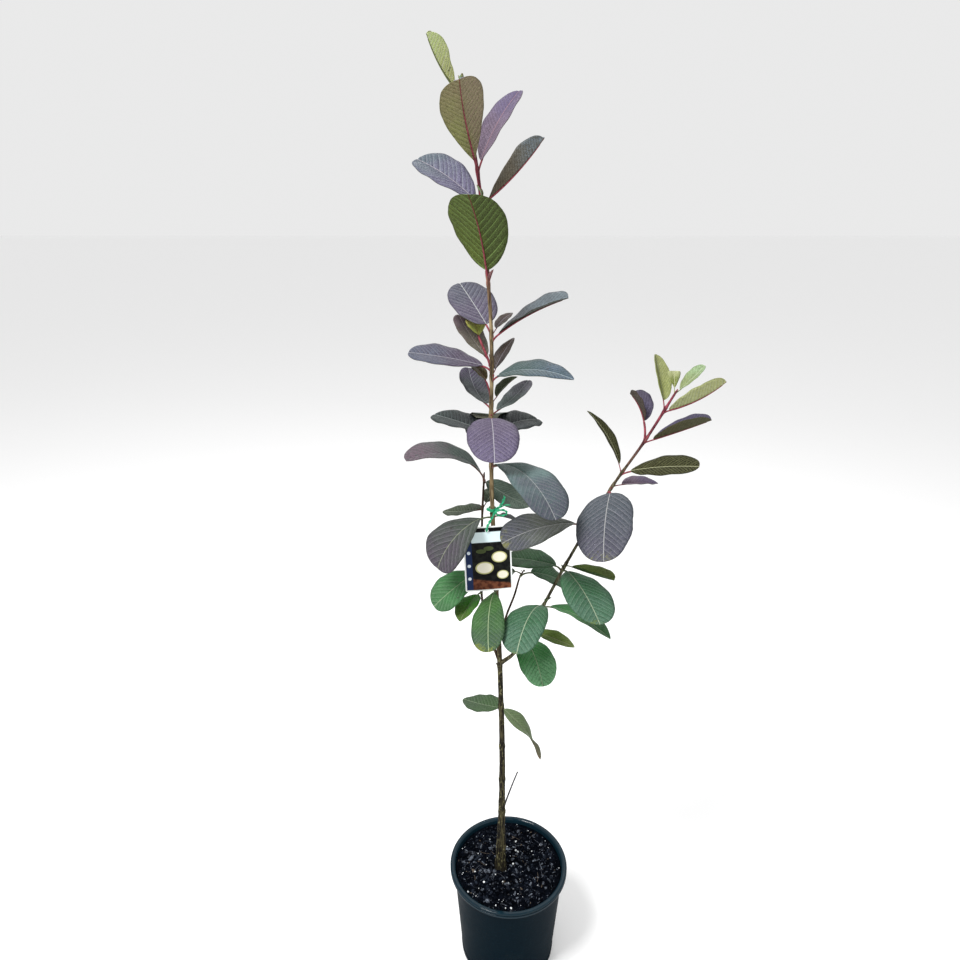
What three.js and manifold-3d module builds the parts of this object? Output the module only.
// A young guava tree in a nursery pot: one slender leader, two side boughs and a short twig, with large
// leaves set in opposite pairs. Each group of leaves is one closed body of thin lobes, one lobe for a leaf,
// joined by a collar round its stem. Millimetres, +Z up, the origin at the middle of the pot's underside.
import * as THREE from "three";
import { mergeVertices } from "three/addons/utils/BufferGeometryUtils.js";
import Module from "manifold-3d";

const wasm = await Module();
wasm.setup();

// ---------------------------------------------------------------- driving dimensions

const GAP = 0.35; // left between two neighbouring bodies
const WELD = 1e-4; // points closer than this are one point
const NEARLY_NOTHING = 1e-6;

const POT = {
  height: 190,
  rimRadius: 100,
  innerRimRadius: 92,
  waistRadius: 93, // outside, just under the rim's two rings
  footRadius: 81,
  wall: 2.2,
  floor: 3,
  lipFoot: 187, // the foot of the upper ring
  ringTop: 185,
  ringFoot: 181.5, // the foot of the lower ring
  groove: 2,
  edge: 1.5, // the slope at each ring's corners
  segments: 24,
};
const DRAIN = { count: 6, radius: 5, circle: 60, sides: 8, drillLength: 12 };
const MIX = { topHeight: 180, mound: 1.5, shoulder: 45 };
const SOIL_LEVEL = MIX.topHeight + MIX.mound;

// A stem is the line it follows (x, y, height) and its radius at the foot and at the tip.
const STEMS = {
  leader: {
    line: [
      [-13, -2, 182], [-13, 1, 410], [-19, 4, 595], [-32, 8, 860], [-34, 10, 970],
      [-34, 9, 1080], [-39, 7, 1160], [-52, 5, 1285], [-70, 8, 1368],
    ],
    foot: 6.9,
    tip: 1.7,
    flare: 3,
    flareHeight: 70,
    roots: 3, // how many ridges the flare has, and the heading of the first
    rootHeading: -50,
  },
  right: {
    line: [
      [-19, 4, 592], [2, 0, 614], [43, -8, 701], [70, -15, 768], [126, -24, 890],
      [166, -28, 960], [199, -32, 1026],
    ],
    foot: 3,
    tip: 1.7,
  },
  left: {
    line: [[-19, 4, 595], [-27, 5, 619], [-46, 10, 703], [-46, 18, 827], [-43, 22, 895]],
    foot: 2.2,
    tip: 1.5,
  },
  twig: {
    line: [[-20, 5, 630], [-9, 10, 675], [2, 14, 706], [10, 18, 735], [15, 19, 744]],
    foot: 1.9,
    tip: 1.5,
  },
};
const LIMB = {
  sides: 7,
  stepLength: 60,
  flareSides: 9,
  flareSteps: 3,
  flareCrowding: 1.5, // how strongly the rings crowd towards a flared foot
  ridgeShare: 0.7, // how far the ridges stand out of the flare
  feeler: 2, // the stem's direction is taken from this far below a place to this far above it
};

// A leaf pair's collar and a leaf lobe's make.
const COLLAR = { stand: 3.8, reach: 5, sides: 6 };
const LOBE = {
  sides: 6,
  stations: 7,
  smallReach: 85, // a leaf that reaches less far has fewer stations
  smallStations: 5,
  halfThickness: 3,
  thinning: 0.5, // the share of its thickness that the blade loses up to its tip
  neckRadius: 2.3,
  petiole: 12,
  leastBend: 1e-3, // radians
};

// A blade's outline along its midrib: how slowly it widens from the base and narrows to the tip.
const FORMS = {
  round: { base: 0.5, tip: 0.45 },
  broad: { base: 0.7, tip: 0.45 },
  spoon: { base: 1.0, tip: 0.45 },
  lance: { base: 0.7, tip: 0.8 },
  taper: { base: 0.5, tip: 0.7 },
  blunt: { base: 0.38, tip: 0.5 },
  fan: { base: 1.0, tip: 0.14 },
};

// Groups of leaves in the order they stand on their stem. Each leaf is: height of its node, heading round
// the stem (0 is +X, 90 is +Y), rise of its chord, reach from stem to tip, width, arch of the midrib, roll
// about the chord, fold of the halves, outline, then twist along the blade and petiole where they differ.
const FOLIAGE = {
  leader_01: ["leader", [
    [512, 147, -11, 74, 50, -11, 3, 10, "taper", 0, 3],
    [516, -28, -48, 104, 36, 36, -21, 15, "lance", -110, 7],
  ]],
  leader_02: ["leader", [
    [722, -96, -14, 122, 48, 62, 15, 8, "spoon", 0, 13],
    [725, 80, -6, 70, 44, 30, 0, 10, "broad"],
  ]],
  leader_03: ["leader", [
    [840, -148, -34, 109, 85, 78, -3, 8, "spoon", 0, 18],
    [840, 25, -28, 62, 34, 30, 0, 10, "broad"],
  ]],
  leader_04: ["leader", [
    [912, -59, -9, 152, 69, 75, -3, 8, "spoon", 0, 5],
    [912, 120, 38, 92, 48, 20, 0, 10, "broad"],
  ]],
  leader_05: ["leader", [
    [958, 141, 5, 104, 50, 10, -8, 10, "broad"],
    [958, 42, 2, 91, 51, 35, 14, 10, "round"],
    [984, -88, -20, 100, 68, 40, -1, 5, "blunt"],
    [984, 92, -20, 88, 56, 20, 0, 10, "broad"],
  ]],
  leader_06: ["leader", [
    [987, 49, 21, 86, 37, -25, -9, 10, "broad"],
    [1000, 41, 32, 56, 24, 30, -7, 30, "lance"],
    [997, 112, 23, 90, 44, -47, 16, 10, "broad"],
    [987, 150, 60, 76, 26, 90, 0, 15, "lance", 0, 42],
  ]],
  leader_07: ["leader", [
    [1049, 173, 9, 112, 49, 12, -20, 10, "broad"],
    [1035, -32, 6, 119, 48, 50, 14, 10, "taper"],
    [1037, 58, 36, 72, 25, 20, -14, 15, "lance"],
    [1057, 129, 37, 87, 44, -22, 4, 15, "broad"],
    [1045, 132, 60, 76, 36, 0, 0, 15, "spoon", 0, 49],
  ]],
  leader_08: ["leader", [
    [1087, -27, 29, 117, 46, 21, 18, 25, "spoon"],
    [1090, 40, 36, 45, 22, 40, -4, 10, "lance"],
    [1095, 120, 33, 99, 62, 7, -11, 8, "round", 0, 15],
  ]],
  leader_09: ["leader", [
    [1166, -113, 58, 110, 74, 28, -2, 8, "round", 0, 6],
    [1168, 100, 64, 72, 36, 20, 0, 10, "broad"],
  ]],
  leader_10: ["leader", [
    [1246, 151, 31, 106, 56, 28, -25, 15, "broad"],
    [1249, -40, 37, 112, 38, -20, -6, 50, "spoon"],
  ]],
  leader_11: ["leader", [
    [1284, -104, 48, 117, 52, 49, 30, 8, "spoon"],
    [1286, 42, 53, 112, 42, 27, 2, 15, "broad"],
  ]],
  leader_12: ["leader", [
    [1366, -121, 36, 85, 34, -26, -23, 68, "spoon"],
    [1366, 30, 52, 24, 12, 0, 0, 50, "lance"],
  ]],
  right_01: ["right", [
    [645, -72, -27, 82, 60, 43, -10, 6, "round", 0, 5],
    [658, -18, -13, 71, 28, 12, 9, 20, "lance"],
  ]],
  right_02: ["right", [
    [703, -112, -4, 120, 60, 75, 7, 6, "broad", 0, 16],
    [703, -43, -3, 116, 42, 37, -9, 20, "lance"],
  ]],
  right_03: ["right", [
    [768, -72, -12, 118, 69, 32, -7, 8, "broad"],
    [768, 150, -5, 95, 52, 16, -8, 10, "broad"],
    [774, -52, 8, 90, 30, -6, -2, 40, "broad"],
  ]],
  right_04: ["right", [
    [838, -168, -8, 125, 72, 46, -10, 8, "spoon", 0, 20],
    [838, 40, -25, 66, 36, 30, 0, 10, "broad"],
  ]],
  right_05: ["right", [
    [893, -103, -30, 119, 77, 36, 20, 6, "round"],
    [897, 13, -3, 66, 28, 14, 6, 25, "lance"],
  ]],
  right_06: ["right", [
    [915, 140, 52, 95, 24, 40, 4, 20, "lance"],
    [916, -35, 16, 105, 43, 17, 21, 10, "broad"],
  ]],
  right_07: ["right", [
    [963, 117, 53, 65, 43, 54, 20, 51, "broad", 0, 23],
    [960, -33, 27, 92, 36, -4, 5, 55, "broad"],
  ]],
  right_08: ["right", [
    [1004, 98, 50, 79, 31, 5, 8, 50, "taper"],
    [1002, -35, 33, 87, 37, -27, -1, 60, "broad", 0, 6],
    [1024, 91, 62, 30, 17, 10, 3, 10, "fan", 0, 7],
    [1026, 25, 36, 52, 22, -16, 6, 30, "broad", 0, 7],
  ]],
  left_01: ["left", [
    [750, -158, -32, 87, 67, 21, -8, 8, "broad", 0, 9],
    [750, 55, 10, 62, 38, 30, 0, 10, "broad"],
    [718, -121, -21, 64, 42, 22, 18, 15, "lance"],
  ]],
  left_02: ["left", [
    [845, 143, -18, 78, 40, -14, -6, 10, "lance", 0, 3],
    [845, 65, 12, 52, 28, 20, 0, 15, "broad"],
  ]],
  left_03: ["left", [
    [893, -150, 20, 126, 56, 75, -14, 15, "broad", 30],
    [886, 4, -33, 78, 35, -26, 50, 10, "lance", 0, 4],
  ]],
  twig_01: ["twig", [
    [743, 19, -26, 80, 46, 40, 16, 10, "broad"],
    [743, 170, -8, 60, 30, 30, 0, 10, "broad"],
  ]],
};
// A bough ends where it enters the group of leaves at its tip.
const TIP_GROUPS = { leader: "leader_12", right: "right_08", left: "left_03", twig: "twig_01" };

const LABEL = {
  width: 67,
  height: 94,
  thickness: 1,
  hang: [-40, -10, 829.5], // the middle of its upper edge
  tilt: 1.8, // degrees, its right side higher
  lean: 10, // its foot forward, where it rests on the leaves below
  turn: 5, // its left side forward
  holeRadius: 2.5,
  holeDrop: 6,
  holeSides: 8,
};
const TIE = {
  height: 849,
  radius: 1.2,
  ringClearance: 1,
  steps: 12,
  sides: 5,
  strandSteps: 6,
  knotShift: 2, // how far right of the ring's foremost point the strand leaves it
  // Points of the strand: right of the middle of the label's upper edge, behind its face and above it.
  strand: [[2, 2, 8], [0, -0.6, 0], [0, -1.6, -LABEL.holeDrop]],
};

// ---------------------------------------------------------------- colours

const GREEN_BELOW = 800; // the groups whose first leaf stands lower are green
const finish = (color, roughness) =>
  new THREE.MeshStandardMaterial({ color, roughness, metalness: 0 });
const FINISH = {
  pot: finish(0x1d2a30, 0.45),
  mix: finish(0x1f1c1a, 0.95),
  bark: finish(0x6b5a42, 0.85),
  redBark: finish(0x7d2e36, 0.6),
  greenLeaf: finish(0x4c7a55, 0.55),
  greyLeaf: finish(0x6f6a80, 0.55),
  youngLeaf: finish(0x9fb45f, 0.5),
  label: finish(0xf2f3f2, 0.4),
  tie: finish(0x16a06a, 0.4),
};

// ---------------------------------------------------------------- small tools

const radians = THREE.MathUtils.degToRad;

// A closed three.js geometry as a solid that can be joined and cut.
function solidOf(geometry) {
  const bare = geometry.clone();
  bare.deleteAttribute("normal");
  bare.deleteAttribute("uv");
  const merged = mergeVertices(bare, WELD);
  const faces = merged.index.array;
  const kept = [];
  for (let i = 0; i < faces.length; i += 3) {
    const [a, b, c] = [faces[i], faces[i + 1], faces[i + 2]];
    if (a !== b && b !== c && c !== a) kept.push(a, b, c);
  }
  const mesh = new wasm.Mesh({
    numProp: 3,
    vertProperties: new Float32Array(merged.attributes.position.array),
    triVerts: new Uint32Array(kept),
  });
  const solid = new wasm.Manifold(mesh);
  if (solid.volume() >= 0) return solid;
  for (let i = 0; i < kept.length; i += 3) [kept[i], kept[i + 1]] = [kept[i + 1], kept[i]];
  mesh.triVerts = new Uint32Array(kept);
  return new wasm.Manifold(mesh);
}

// The solid back as a three.js geometry with its own normals.
function geometryOf(solid) {
  const mesh = solid.getMesh();
  const geometry = new THREE.BufferGeometry();
  geometry.setAttribute("position", new THREE.BufferAttribute(mesh.vertProperties, 3));
  geometry.setIndex(new THREE.BufferAttribute(mesh.triVerts, 1));
  geometry.computeVertexNormals();
  return geometry;
}

// The largest of a cut solid's bodies: what is left of the others is a sliver.
function largest(solid) {
  const bodies = solid.decompose();
  return bodies.reduce((best, body) => (body.volume() > best.volume() ? body : best));
}

// Where a stem's middle is at a height, on a smooth curve through its line that runs on straight past
// both ends, and which way it runs.
function stemAt(line, height) {
  const last = line.length - 1;
  const clamped = Math.min(Math.max(height, line[0][2]), line[last][2]);
  let k = 0;
  while (k < last - 1 && clamped > line[k + 1][2]) k += 1;
  const slope = (i, axis) => {
    const [a, b] = [line[Math.max(i - 1, 0)], line[Math.min(i + 1, last)]];
    return (b[axis] - a[axis]) / (b[2] - a[2]);
  };
  if (clamped !== height) {
    const end = height < clamped ? 0 : last;
    const past = height - clamped;
    const [x, y] = [0, 1].map((axis) => line[end][axis] + slope(end, axis) * past);
    return new THREE.Vector3(x, y, height);
  }
  const span = line[k + 1][2] - line[k][2];
  const t = (clamped - line[k][2]) / span;
  const along = (axis) =>
    line[k][axis] * (2 * t ** 3 - 3 * t ** 2 + 1) +
    line[k + 1][axis] * (3 * t ** 2 - 2 * t ** 3) +
    slope(k, axis) * span * (t ** 3 - 2 * t ** 2 + t) +
    slope(k + 1, axis) * span * (t ** 3 - t ** 2);
  return new THREE.Vector3(along(0), along(1), clamped);
}

function stemDirection(line, height) {
  const below = stemAt(line, height - LIMB.feeler);
  return stemAt(line, height + LIMB.feeler).sub(below).normalize();
}

// A stem's radius at a height, and in a heading where its foot flares into roots.
function stemRadius(stem, height, heading = 0) {
  const [low, high] = [stem.line[0][2], stem.line[stem.line.length - 1][2]];
  const t = Math.min(Math.max((height - low) / (high - low), 0), 1);
  const taper = stem.foot + (stem.tip - stem.foot) * Math.sqrt(t);
  if (!stem.flare) return taper;
  const ridge = 1 + LIMB.ridgeShare * Math.cos(stem.roots * (heading - radians(stem.rootHeading)));
  return taper + stem.flare * ridge * Math.exp(-(height - low) / stem.flareHeight);
}

// A tapering limb between two heights of a stem: a capped cylinder whose rings are set on the stem's line.
function limb(stem, from, to, extra = 0) {
  const steps = Math.max(1, Math.round((to - from) / LIMB.stepLength));
  const tube = stem.flare
    ? new THREE.CylinderGeometry(1, 1, 1, LIMB.flareSides, steps + LIMB.flareSteps)
    : new THREE.CylinderGeometry(1, 1, 1, stem.sides ?? LIMB.sides, steps);
  const place = tube.attributes.position;
  const vertex = new THREE.Vector3();
  for (let i = 0; i < place.count; i += 1) {
    vertex.fromBufferAttribute(place, i);
    const t = vertex.y + 0.5;
    const height = from + (to - from) * (stem.flare ? t ** LIMB.flareCrowding : t);
    const along = stemDirection(stem.line, height);
    const across = new THREE.Vector3(0, 1, 0).cross(along).normalize();
    const outward = along.clone().cross(across);
    const radius = stemRadius(stem, height, Math.atan2(-vertex.z, vertex.x)) + extra;
    const centre = stemAt(stem.line, height);
    centre.addScaledVector(across, vertex.x * radius).addScaledVector(outward, -vertex.z * radius);
    place.setXYZ(i, centre.x, centre.y, centre.z);
  }
  return solidOf(tube);
}

// How wide a blade is at a place from its base (0) to its tip (1), as a share of its full width.
function outlineShare(form, place) {
  const { base, tip } = FORMS[form];
  const widest = base / (base + tip);
  const full = widest ** base * (1 - widest) ** tip;
  return (place ** base * (1 - place) ** tip) / full;
}

// A leaf as a thin closed lobe: a ball drawn out along the midrib's arc, flattened to the blade's outline
// and folded along the midrib. extra grows it evenly, for the clearance that a neighbour keeps.
function leafLobe(stem, leaf, extra = 0) {
  const [height, heading, rise, reach, width, arch, roll, fold, form, twist = 0, neck = LOBE.petiole] = leaf;
  const [h, r] = [radians(heading), radians(rise)];
  const chord = new THREE.Vector3(Math.cos(r) * Math.cos(h), Math.cos(r) * Math.sin(h), Math.sin(r));
  const upright = new THREE.Vector3(-Math.sin(r) * Math.cos(h), -Math.sin(r) * Math.sin(h), Math.cos(r));
  const start = stemAt(stem.line, height);
  const half = Math.max(Math.abs(radians(arch)) / 2, LOBE.leastBend);
  const bend = Math.sign(arch) || 1;
  const stations = reach < LOBE.smallReach ? LOBE.smallStations : LOBE.stations;
  const ball = new THREE.SphereGeometry(1, LOBE.sides, stations);
  const halfSide = Math.PI / LOBE.sides;
  ball.rotateY(halfSide);
  const place = ball.attributes.position;
  const vertex = new THREE.Vector3();
  for (let i = 0; i < place.count; i += 1) {
    vertex.fromBufferAttribute(place, i);
    const polar = Math.acos(THREE.MathUtils.clamp(-vertex.y, -1, 1));
    const t = (polar / Math.PI + (1 - Math.cos(polar)) / 2) / 2;
    const ring = Math.hypot(vertex.x, vertex.z);
    const onAxis = ring < NEARLY_NOTHING;
    const [u, v] = onAxis ? [0, 0] : [vertex.x / ring / Math.cos(halfSide), vertex.z / ring];
    const turn = radians(roll + twist * (t - 0.5));
    const up = upright.clone().applyAxisAngle(chord, turn);
    const side = chord.clone().cross(up);
    const blade = (t - neck / reach) / (1 - neck / reach);
    const share = blade > 0 ? outlineShare(form, Math.min(blade, 1)) : 0;
    const spread = Math.max((width / 2) * share, onAxis ? 0 : LOBE.neckRadius) + extra;
    const flesh = blade > 0 ? LOBE.halfThickness * (1 - LOBE.thinning * blade) : LOBE.neckRadius;
    const thick = flesh + extra;
    const angle = half * (2 * t - 1);
    const ahead = (Math.sin(angle) / Math.sin(half) + 1) / 2;
    const lift = (bend * (Math.cos(angle) - Math.cos(half))) / (2 * Math.sin(half));
    const crown = up.clone().multiplyScalar(Math.cos(angle));
    crown.addScaledVector(chord, bend * Math.sin(angle));
    const point = start.clone();
    point.addScaledVector(chord, reach * ahead).addScaledVector(up, reach * lift);
    if (onAxis) {
      point.addScaledVector(chord, t > 0.5 ? extra : -extra);
    } else {
      point.addScaledVector(side, u * spread * Math.cos(radians(fold)));
      point.addScaledVector(crown, Math.abs(u) * spread * Math.sin(radians(fold)) + v * thick);
    }
    place.setXYZ(i, point.x, point.y, point.z);
  }
  return solidOf(ball);
}

// A group of leaves: its lobes and the collar that joins them round the stem.
function leafGroup(stem, leaves, extra = 0) {
  const heights = leaves.map((leaf) => leaf[0]);
  const [low, high] = [Math.min(...heights), Math.max(...heights)];
  const collar = limb(
    { ...stem, flare: 0, sides: COLLAR.sides },
    Math.max(low - COLLAR.reach, stem.line[0][2]) - extra,
    high + COLLAR.reach + extra,
    COLLAR.stand + extra,
  );
  return leaves.reduce((group, leaf) => group.add(leafLobe(stem, leaf, extra)), collar);
}

// ---------------------------------------------------------------- pot and potting mix

function latheSolid(profile) {
  const points = profile.map(([radius, height]) => new THREE.Vector2(radius, height));
  const geometry = new THREE.LatheGeometry(points, POT.segments);
  geometry.rotateX(Math.PI / 2);
  return solidOf(geometry);
}

function potSolid() {
  const { height, rimRadius, lipFoot, ringTop, ringFoot, edge, footRadius, wall, floor } = POT;
  const grooveRadius = rimRadius - POT.groove;
  const shell = latheSolid([
    [0, 0],
    [footRadius - edge, 0],
    [footRadius, edge],
    [POT.waistRadius, ringFoot - edge],
    [rimRadius - edge, ringFoot - edge / 2],
    [rimRadius, ringFoot + edge / 2],
    [rimRadius, ringTop - edge / 2],
    [grooveRadius, ringTop + edge / 4],
    [grooveRadius, lipFoot - edge / 4],
    [rimRadius, lipFoot + edge / 2],
    [rimRadius, height - edge],
    [rimRadius - edge, height],
    [POT.innerRimRadius + edge, height],
    [POT.innerRimRadius, height - edge],
    [POT.waistRadius - wall, ringFoot - edge],
    [footRadius - wall, floor],
    [0, floor],
  ]);
  const drain = new THREE.CylinderGeometry(DRAIN.radius, DRAIN.radius, DRAIN.drillLength, DRAIN.sides);
  drain.rotateX(Math.PI / 2);
  let pot = shell;
  for (let k = 0; k < DRAIN.count; k += 1) {
    const angle = (k / DRAIN.count) * 2 * Math.PI;
    const hole = drain.clone();
    hole.translate(DRAIN.circle * Math.cos(angle), DRAIN.circle * Math.sin(angle), 0);
    pot = pot.subtract(solidOf(hole));
  }
  return pot;
}

// The potting mix fills the pot up to its own level, a little higher round the trunk.
function mixSolid() {
  const [footInner, waistInner] = [POT.footRadius - POT.wall, POT.waistRadius - POT.wall];
  const floor = POT.floor + GAP;
  const share = (MIX.topHeight - POT.floor) / (POT.ringFoot - POT.edge - POT.floor);
  return latheSolid([
    [0, floor],
    [footInner - GAP, floor],
    [footInner + (waistInner - footInner) * share - GAP, MIX.topHeight],
    [MIX.shoulder, MIX.topHeight + MIX.mound],
    [0, MIX.topHeight + MIX.mound],
  ]);
}

// ---------------------------------------------------------------- plant label and its tie

// A plate that hangs as the label does, grown by extra on every side.
function labelPlate(extra, holeRadius) {
  const { width, height, thickness, holeDrop, holeSides, hang, tilt, lean, turn } = LABEL;
  const [right, foot] = [width / 2 + extra, -height - extra];
  const shape = new THREE.Shape();
  shape.moveTo(-right, foot);
  shape.lineTo(right, foot);
  shape.lineTo(right, extra);
  shape.lineTo(-right, extra);
  shape.closePath();
  if (holeRadius) {
    const hole = new THREE.Path();
    hole.absarc(0, -holeDrop, holeRadius, 0, 2 * Math.PI, true);
    shape.holes.push(hole);
  }
  const depth = thickness + 2 * extra;
  const plate = new THREE.ExtrudeGeometry(shape, { depth, bevelEnabled: false, curveSegments: holeSides });
  plate.translate(0, 0, -extra);
  plate.rotateZ(radians(tilt));
  plate.rotateX(Math.PI / 2 - radians(lean));
  plate.rotateZ(radians(turn));
  plate.translate(...hang);
  return solidOf(plate);
}

// The tie runs once round the leader and down to the label's hole.
function tieSolid() {
  const { height, radius, ringClearance, steps, sides } = TIE;
  const leader = STEMS.leader;
  const middle = stemAt(leader.line, height);
  const ringRadius = stemRadius(leader, height) + ringClearance + radius;
  const ring = new THREE.TorusGeometry(ringRadius, radius, sides, steps);
  ring.translate(middle.x, middle.y, middle.z);
  const [x, y, z] = LABEL.hang;
  const front = y - LABEL.thickness - GAP - radius;
  const strand = new THREE.CatmullRomCurve3([
    new THREE.Vector3(middle.x + TIE.knotShift, middle.y - ringRadius, height),
    ...TIE.strand.map(([right, back, above]) => new THREE.Vector3(x + right, front + back, z + above)),
  ]);
  const section = new THREE.Shape();
  section.absarc(0, 0, radius, 0, 2 * Math.PI);
  const path = new THREE.ExtrudeGeometry(section, {
    steps: TIE.strandSteps,
    curveSegments: sides,
    bevelEnabled: false,
    extrudePath: strand,
  });
  return solidOf(ring).add(solidOf(path));
}

// ---------------------------------------------------------------- the tree

const tree = new THREE.Group();
tree.name = "guava_tree";

function addPart(name, solid, material) {
  const mesh = new THREE.Mesh(geometryOf(solid), material);
  mesh.name = name;
  tree.add(mesh);
}

const [pot, mix] = [potSolid(), mixSolid()];
addPart("pot", pot, FINISH.pot);
addPart("potting_mix", mix, FINISH.mix);

// Each placed piece leaves behind a slightly larger copy, which cuts the pieces placed after it.
const cutters = [];
function clear(solid) {
  return largest(cutters.reduce((rest, cutter) => rest.subtract(cutter), solid));
}

const limbEnd = (name) => {
  const [stemName, leaves] = FOLIAGE[TIP_GROUPS[name]];
  const { line } = STEMS[stemName];
  const lowest = Math.min(...leaves.map((leaf) => leaf[0])) - COLLAR.reach;
  return name === "leader" ? line[line.length - 1][2] : lowest;
};
for (const [name, node] of [
  ["leader", "trunk"],
  ["right", "right_bough"],
  ["left", "left_bough"],
  ["twig", "middle_twig"],
]) {
  const stem = STEMS[name];
  const from = name === "leader" ? SOIL_LEVEL + GAP : stem.line[0][2];
  addPart(node, clear(limb(stem, from, limbEnd(name))), FINISH.bark);
  cutters.push(limb(stem, from, limbEnd(name) + GAP, GAP));
}

const tie = tieSolid();
addPart("label", labelPlate(0, LABEL.holeRadius), FINISH.label);
addPart("label_tie", tie, FINISH.tie);
cutters.push(labelPlate(GAP, 0), tie);

const leafFinish = (name) => {
  if (name === TIP_GROUPS.leader || name === TIP_GROUPS.right) return FINISH.youngLeaf;
  return FOLIAGE[name][1][0][0] < GREEN_BELOW ? FINISH.greenLeaf : FINISH.greyLeaf;
};
for (const [name, [stemName, leaves]] of Object.entries(FOLIAGE)) {
  const stem = STEMS[stemName];
  addPart(`foliage_${name}`, clear(leafGroup(stem, leaves)), leafFinish(name));
  cutters.push(leafGroup(stem, leaves, GAP));
}

export default tree;
